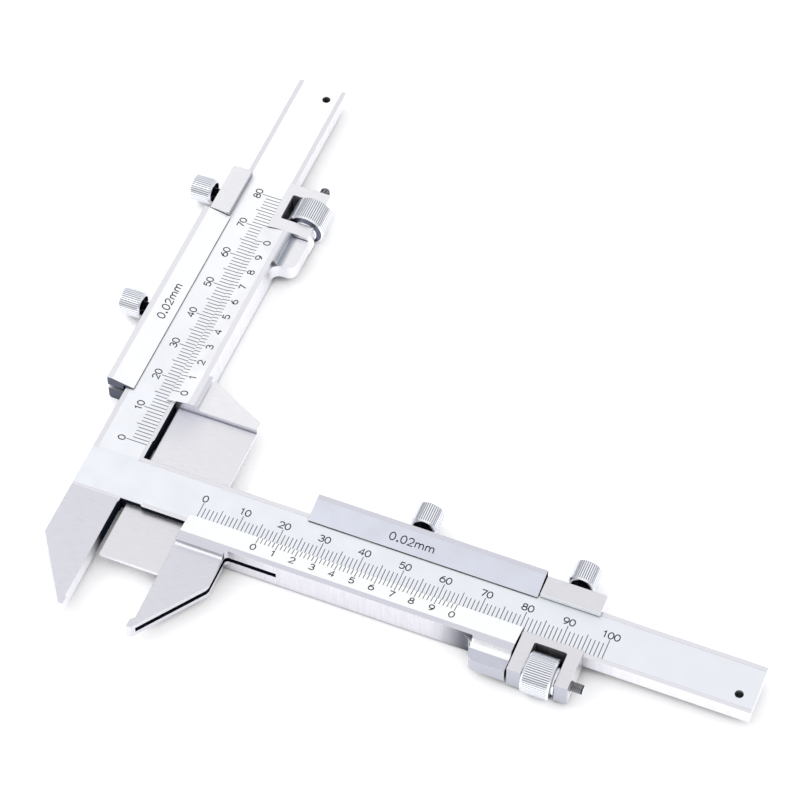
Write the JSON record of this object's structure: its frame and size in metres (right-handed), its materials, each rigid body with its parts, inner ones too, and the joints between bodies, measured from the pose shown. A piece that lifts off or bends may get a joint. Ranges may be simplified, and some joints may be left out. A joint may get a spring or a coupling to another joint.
{
  "type": "gear tooth caliper",
  "caption": "Gear tooth caliper with two vernier beams at right angles, forked sliding jaw, height tongue, fine adjustment carriages and knurled thumb screws.",
  "frame": {"origin": "centre of the whole part's footprint at the height of the sliders' backs", "axes": "+X along the thickness beam away from the jaws, +Y up along the depth beam, +Z out of the graduated faces"},
  "size_m": [0.1792, 0.1658, 0.0098],
  "materials": {
    "frame_steel": "hardened stainless steel, satin scale faces and ground edges",
    "slider_steel": "hardened stainless steel, satin bevels and brushed jaws",
    "tongue_steel": "stainless steel, straight brushed faces",
    "carriage_steel": "stainless steel, fine ground",
    "knurled_steel": "satin chromed knurled steel",
    "screw_steel": "plain machined steel",
    "spring_steel": "cold rolled spring steel",
    "pad_brass": "plain turned brass"
  },
  "bodies": {
    "frame_body": {"frame": "frame_steel"},
    "thickness_slider_body": {"thickness_slider": "slider_steel", "thickness_gib_spring": "spring_steel", "thickness_adjusting_stud": "screw_steel"},
    "thickness_lock_body": {"thickness_lock_screw": "knurled_steel"},
    "thickness_carriage_body": {"thickness_carriage": "carriage_steel", "thickness_clamp_pad": "pad_brass"},
    "thickness_clamp_body": {"thickness_clamp_screw": "knurled_steel"},
    "thickness_nut_body": {"thickness_adjusting_nut": "knurled_steel"},
    "depth_slider_body": {"depth_slider": "slider_steel", "depth_gib_spring": "spring_steel", "depth_adjusting_stud": "screw_steel", "tongue": "tongue_steel", "tongue_screws": "screw_steel", "tongue_dowels": "screw_steel"},
    "depth_lock_body": {"depth_lock_screw": "knurled_steel"},
    "depth_carriage_body": {"depth_carriage": "carriage_steel", "depth_clamp_pad": "pad_brass"},
    "depth_clamp_body": {"depth_clamp_screw": "knurled_steel"},
    "depth_nut_body": {"depth_adjusting_nut": "knurled_steel"}
  },
  "joints": [
    {"name": "thickness_slide", "type": "slide", "parent": "frame_body", "child": "thickness_slider_body", "axis": [1, 0, 0], "range_m": [-0.0158, 0.0341]},
    {"name": "thickness_lock_turn", "type": "hinge", "parent": "thickness_slider_body", "child": "thickness_lock_body", "pos_m": [0.00343, -0.0291, 0.0045], "axis": [0, 1, 0], "range_deg": [0, 360]},
    {"name": "thickness_fine_slide", "type": "slide", "parent": "thickness_slider_body", "child": "thickness_carriage_body", "axis": [1, 0, 0], "range_m": [-0.0004, 0.0035]},
    {"name": "thickness_clamp_turn", "type": "hinge", "parent": "thickness_carriage_body", "child": "thickness_clamp_body", "pos_m": [0.04283, -0.0303, 0.0045], "axis": [0, 1, 0], "range_deg": [0, 360]},
    {"name": "thickness_nut_turn", "type": "hinge", "parent": "thickness_carriage_body", "child": "thickness_nut_body", "pos_m": [0.04292, -0.0592, 0.0049], "axis": [1, 0, 0], "range_deg": [-321, 2801]},
    {"name": "depth_slide", "type": "slide", "parent": "frame_body", "child": "depth_slider_body", "axis": [0, 1, 0], "range_m": [-0.0154, 0.0136]},
    {"name": "depth_lock_turn", "type": "hinge", "parent": "depth_slider_body", "child": "depth_lock_body", "pos_m": [-0.08682, 0.00303, 0.0045], "axis": [-1, 0, 0], "range_deg": [0, 360]},
    {"name": "depth_fine_slide", "type": "slide", "parent": "depth_slider_body", "child": "depth_carriage_body", "axis": [0, 1, 0], "range_m": [-0.0001, 0.0035]},
    {"name": "depth_clamp_turn", "type": "hinge", "parent": "depth_carriage_body", "child": "depth_clamp_body", "pos_m": [-0.08563, 0.04208, 0.0045], "axis": [-1, 0, 0], "range_deg": [0, 360]},
    {"name": "depth_nut_turn", "type": "hinge", "parent": "depth_carriage_body", "child": "depth_nut_body", "pos_m": [-0.05672, 0.04218, 0.0049], "axis": [0, 1, 0], "range_deg": [-81, 2801]}
  ],
  "couplings": [
    {"joint": "thickness_nut_turn", "follows": "thickness_fine_slide", "rad_per_m": 13963},
    {"joint": "depth_nut_turn", "follows": "depth_fine_slide", "rad_per_m": 13963}
  ]
}
